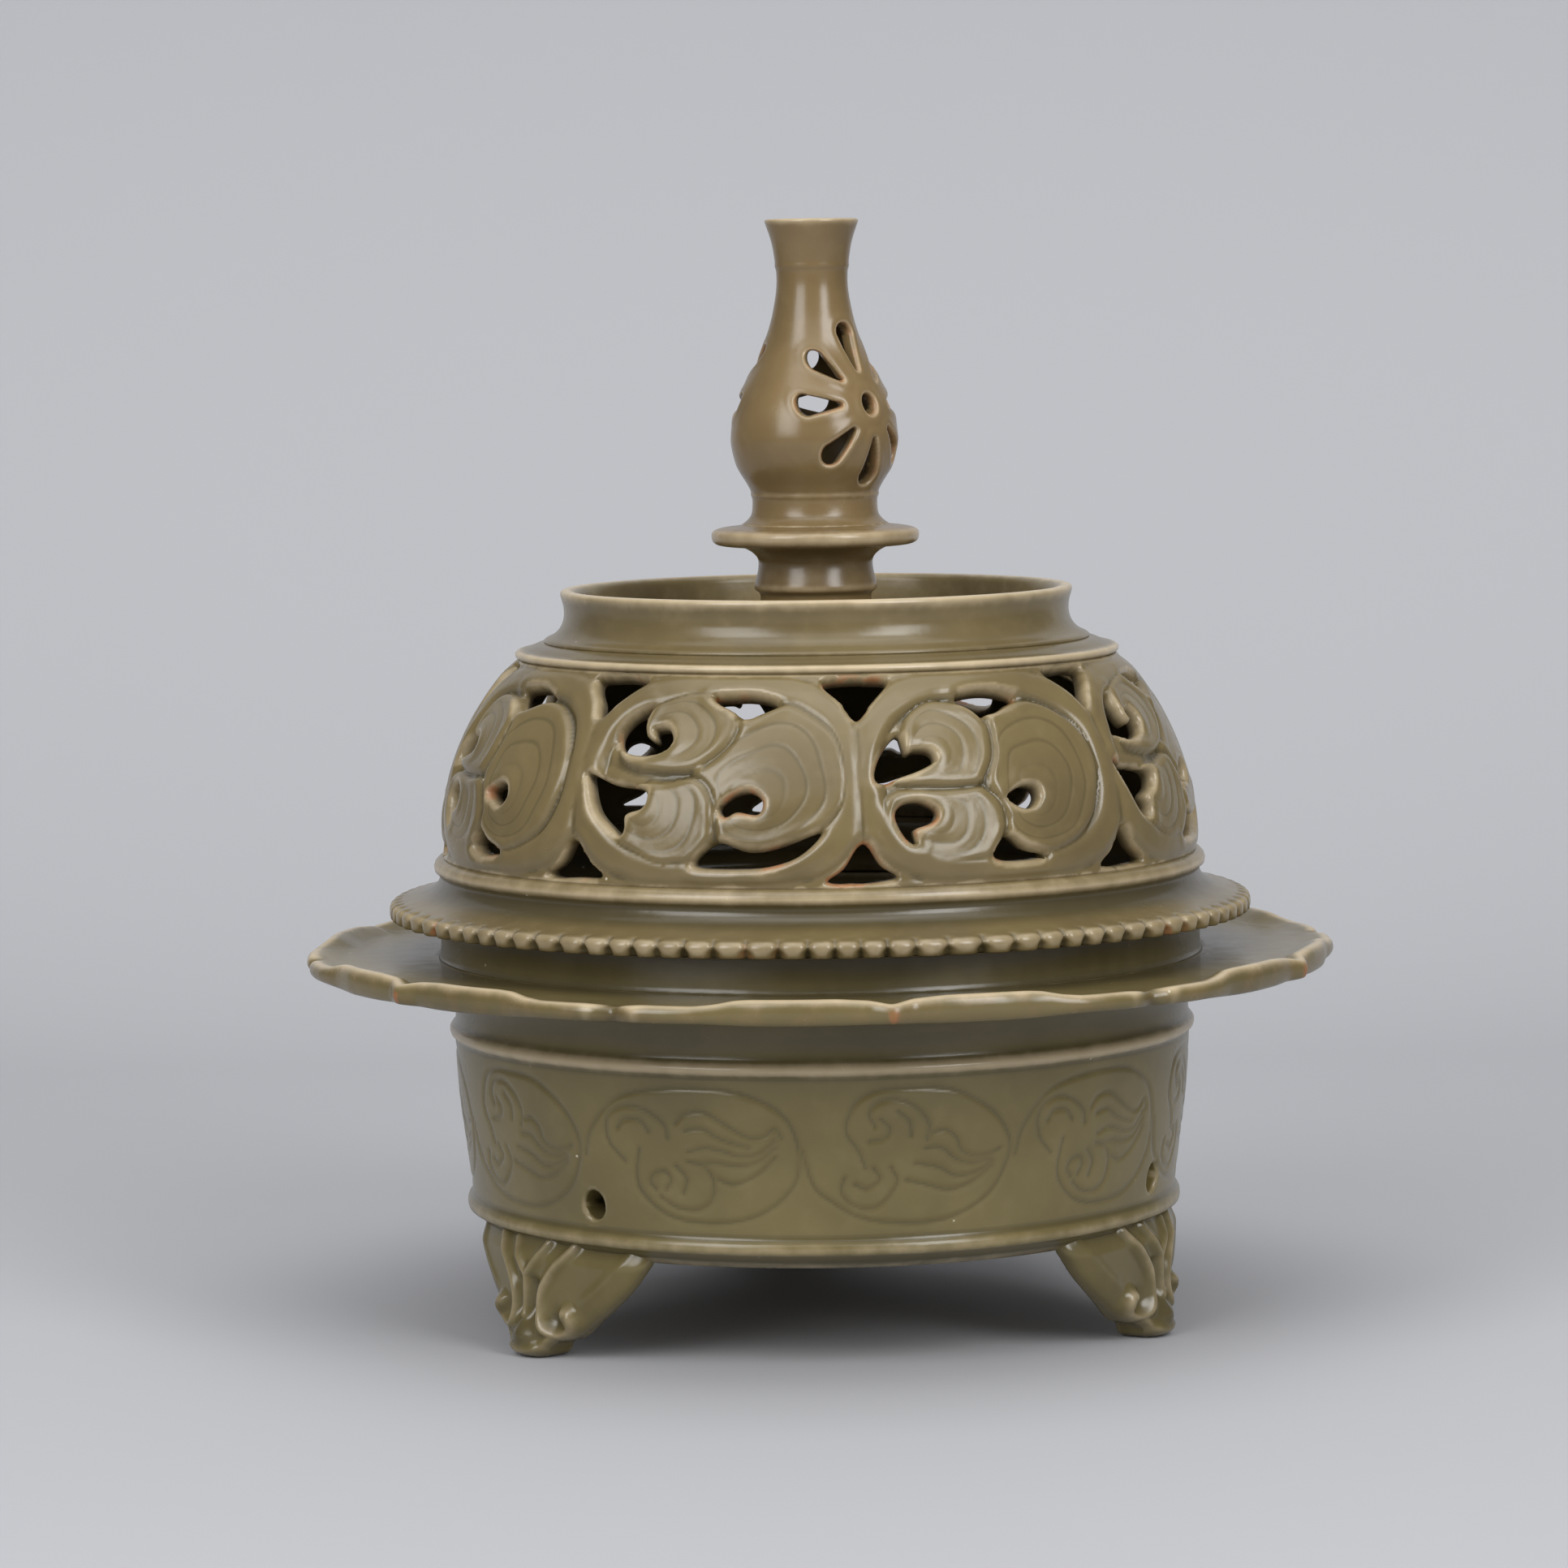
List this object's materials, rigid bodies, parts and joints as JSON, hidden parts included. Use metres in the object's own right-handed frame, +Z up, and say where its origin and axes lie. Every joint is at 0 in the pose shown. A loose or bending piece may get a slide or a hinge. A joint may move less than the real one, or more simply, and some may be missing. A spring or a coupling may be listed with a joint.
{
  "type": "incense burner",
  "caption": "Glazed ceramic tripod incense burner: round bowl with a lobed flange, lift-off openwork domed cover with a crimped edge, and a pierced hollow finial.",
  "frame": {"origin": "on the burner's vertical axis, in the plane that the three feet stand on", "axes": "+Z up along the burner's axis, -Y towards the picture's camera, +X to the picture's right"},
  "size_m": [0.2182, 0.2154, 0.233],
  "materials": {
    "bowl_glaze": "glossy olive celadon glaze",
    "flange_glaze": "glossy olive celadon glaze, pale and rust-spotted on the edge",
    "cover_glaze": "glossy olive celadon glaze, pooled dark in the carving",
    "finial_glaze": "glossy olive-brown celadon glaze"
  },
  "bodies": {
    "bowl": {"bowl": "bowl_glaze", "bowl_flange": "flange_glaze", "leg_left": "bowl_glaze", "leg_right": "bowl_glaze", "leg_back": "bowl_glaze"},
    "cover": {"cover_flange": "cover_glaze", "cover_lip": "cover_glaze", "cover_dome": "cover_glaze", "cover_shoulder": "cover_glaze", "cover_collar": "cover_glaze", "finial_stem": "finial_glaze", "finial_disc": "finial_glaze", "finial_bottle": "finial_glaze"}
  },
  "joints": [
    {"name": "cover_lift", "type": "slide", "parent": "bowl", "child": "cover", "axis": [0, 0, 1], "range_m": [0, 0.12]}
  ]
}
